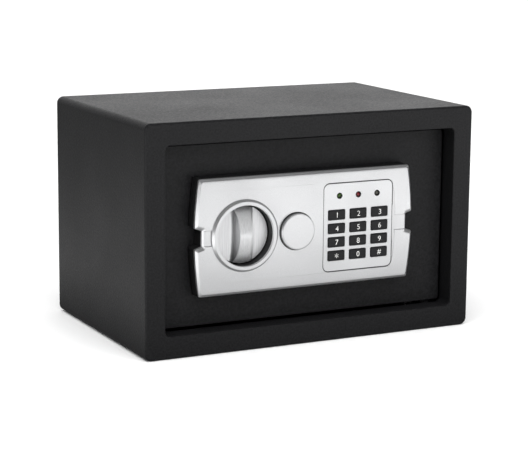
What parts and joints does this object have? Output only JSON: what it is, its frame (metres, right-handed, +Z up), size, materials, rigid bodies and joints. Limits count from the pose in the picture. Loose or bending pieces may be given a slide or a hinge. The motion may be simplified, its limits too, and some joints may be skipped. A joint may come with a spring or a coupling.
{
  "type": "in-room safe",
  "caption": "Compact in-room safe with a recessed swinging door, raised keypad panel, turn knob throwing round bolts, capped key lock and inner battery box.",
  "frame": {"origin": "centre of the casing's underside", "axes": "+X to the right seen from the front, +Y from the front to the rear, +Z up"},
  "size_m": [0.31, 0.2025, 0.196],
  "materials": {
    "black_powder_coat": "fine textured black powder coat",
    "black_plastic": "satin black moulding",
    "silver_paint": "fine silver paint on plastic",
    "satin_metal": "brushed satin metal",
    "black_rubber": "matt black rubber",
    "zinc_steel": "zinc-plated steel",
    "bolt_steel": "bright plated steel",
    "nylon": "natural nylon",
    "brass_plug": "turned brass",
    "copper_coil": "varnished copper winding",
    "felt": "dark grey needle felt",
    "board_green": "green solder mask",
    "lens_green": "tinted lens, unlit",
    "lens_red": "tinted lens, unlit",
    "lens_grey": "tinted lens, unlit",
    "wire_red": "PVC insulation",
    "cell_blue": "printed cell sleeve with no lettering",
    "reset_red": "glossy red plastic"
  },
  "bodies": {
    "casing": {"casing_wrap": "black_powder_coat", "rear_panel": "black_powder_coat", "hinge_brackets": "black_powder_coat", "hinge_washers": "black_plastic", "strike_plate": "black_powder_coat", "floor_mat": "felt"},
    "door": {"door_plate": "black_powder_coat", "hinge_pins": "black_powder_coat", "bolt_guide": "zinc_steel", "guide_bushes": "nylon", "guide_studs": "zinc_steel", "cover_posts": "zinc_steel", "inner_cover": "black_powder_coat", "cover_screws": "zinc_steel", "panel_base": "black_plastic", "panel_cover": "silver_paint", "panel_screws": "zinc_steel", "keypad_plate": "silver_paint", "knob_bezel": "silver_paint", "led_green": "lens_green", "led_red": "lens_red", "led_yellow": "lens_grey", "control_board": "board_green", "key_switches": "zinc_steel", "cable_grommet": "black_plastic", "wiring_loom": "wire_red", "lock_barrel": "zinc_steel", "lock_nut": "zinc_steel", "solenoid_frame": "zinc_steel", "solenoid_coil": "copper_coil", "battery_box": "black_plastic", "batteries": "cell_blue", "battery_contacts": "zinc_steel", "reset_switch": "nylon"},
    "turn_knob": {"knob": "satin_metal", "knob_spindle": "zinc_steel", "crank": "zinc_steel"},
    "bolt_work": {"bolt_carriage": "zinc_steel", "locking_bolts": "bolt_steel", "bolt_screws": "zinc_steel"},
    "plunger": {"solenoid_plunger": "zinc_steel", "plunger_spring": "zinc_steel"},
    "key_cap": {"override_cap": "silver_paint"},
    "key_plug": {"lock_plug": "brass_plug", "lock_cam": "zinc_steel"},
    "reset_push": {"reset_button": "reset_red"},
    "battery_cover": {"battery_lid": "black_plastic"},
    "key_1_pad": {"key_1": "black_rubber"},
    "key_2_pad": {"key_2": "black_rubber"},
    "key_3_pad": {"key_3": "black_rubber"},
    "key_4_pad": {"key_4": "black_rubber"},
    "key_5_pad": {"key_5": "black_rubber"},
    "key_6_pad": {"key_6": "black_rubber"},
    "key_7_pad": {"key_7": "black_rubber"},
    "key_8_pad": {"key_8": "black_rubber"},
    "key_9_pad": {"key_9": "black_rubber"},
    "key_star_pad": {"key_star": "black_rubber"},
    "key_0_pad": {"key_0": "black_rubber"},
    "key_hash_pad": {"key_hash": "black_rubber"}
  },
  "joints": [
    {"name": "door_swing", "type": "hinge", "parent": "casing", "child": "door", "pos_m": [0.12345, -0.0775, 0.098], "axis": [0, 0, 1], "range_deg": [0, 90]},
    {"name": "knob_turn", "type": "hinge", "parent": "door", "child": "turn_knob", "pos_m": [-0.065, -0.085, 0.098], "axis": [0, -1, 0], "range_deg": [0, 90]},
    {"name": "bolts_throw", "type": "slide", "parent": "door", "child": "bolt_work", "axis": [-1, 0, 0], "range_m": [0, 0.015]},
    {"name": "key_turn", "type": "hinge", "parent": "door", "child": "key_plug", "pos_m": [-0.0165, -0.08, 0.098], "axis": [0, -1, 0], "range_deg": [0, 90]},
    {"name": "plunger_drop", "type": "slide", "parent": "door", "child": "plunger", "axis": [0, 0, -1], "range_m": [0, 0.005], "deforming": ["plunger_spring"]},
    {"name": "key_cap_pull", "type": "slide", "parent": "door", "child": "key_cap", "axis": [0, -1, 0], "range_m": [0, 0.03]},
    {"name": "reset_press", "type": "slide", "parent": "door", "child": "reset_push", "axis": [0, -1, 0], "range_m": [0, 0.0012], "stiffness_N_per_m": 300},
    {"name": "battery_lid_pull", "type": "slide", "parent": "door", "child": "battery_cover", "axis": [0, 1, 0], "range_m": [0, 0.02]},
    {"name": "key_1_press", "type": "slide", "parent": "door", "child": "key_1_pad", "axis": [0, 1, 0], "range_m": [0, 0.0012], "stiffness_N_per_m": 300},
    {"name": "key_2_press", "type": "slide", "parent": "door", "child": "key_2_pad", "axis": [0, 1, 0], "range_m": [0, 0.0012], "stiffness_N_per_m": 300},
    {"name": "key_3_press", "type": "slide", "parent": "door", "child": "key_3_pad", "axis": [0, 1, 0], "range_m": [0, 0.0012], "stiffness_N_per_m": 300},
    {"name": "key_4_press", "type": "slide", "parent": "door", "child": "key_4_pad", "axis": [0, 1, 0], "range_m": [0, 0.0012], "stiffness_N_per_m": 300},
    {"name": "key_5_press", "type": "slide", "parent": "door", "child": "key_5_pad", "axis": [0, 1, 0], "range_m": [0, 0.0012], "stiffness_N_per_m": 300},
    {"name": "key_6_press", "type": "slide", "parent": "door", "child": "key_6_pad", "axis": [0, 1, 0], "range_m": [0, 0.0012], "stiffness_N_per_m": 300},
    {"name": "key_7_press", "type": "slide", "parent": "door", "child": "key_7_pad", "axis": [0, 1, 0], "range_m": [0, 0.0012], "stiffness_N_per_m": 300},
    {"name": "key_8_press", "type": "slide", "parent": "door", "child": "key_8_pad", "axis": [0, 1, 0], "range_m": [0, 0.0012], "stiffness_N_per_m": 300},
    {"name": "key_9_press", "type": "slide", "parent": "door", "child": "key_9_pad", "axis": [0, 1, 0], "range_m": [0, 0.0012], "stiffness_N_per_m": 300},
    {"name": "key_star_press", "type": "slide", "parent": "door", "child": "key_star_pad", "axis": [0, 1, 0], "range_m": [0, 0.0012], "stiffness_N_per_m": 300},
    {"name": "key_0_press", "type": "slide", "parent": "door", "child": "key_0_pad", "axis": [0, 1, 0], "range_m": [0, 0.0012], "stiffness_N_per_m": 300},
    {"name": "key_hash_press", "type": "slide", "parent": "door", "child": "key_hash_pad", "axis": [0, 1, 0], "range_m": [0, 0.0012], "stiffness_N_per_m": 300}
  ],
  "couplings": [
    {"joint": "knob_turn", "follows": "bolts_throw", "rad_per_m": 104.72},
    {"joint": "plunger_drop", "follows": "key_turn", "m_per_rad": 0.0031831}
  ]
}
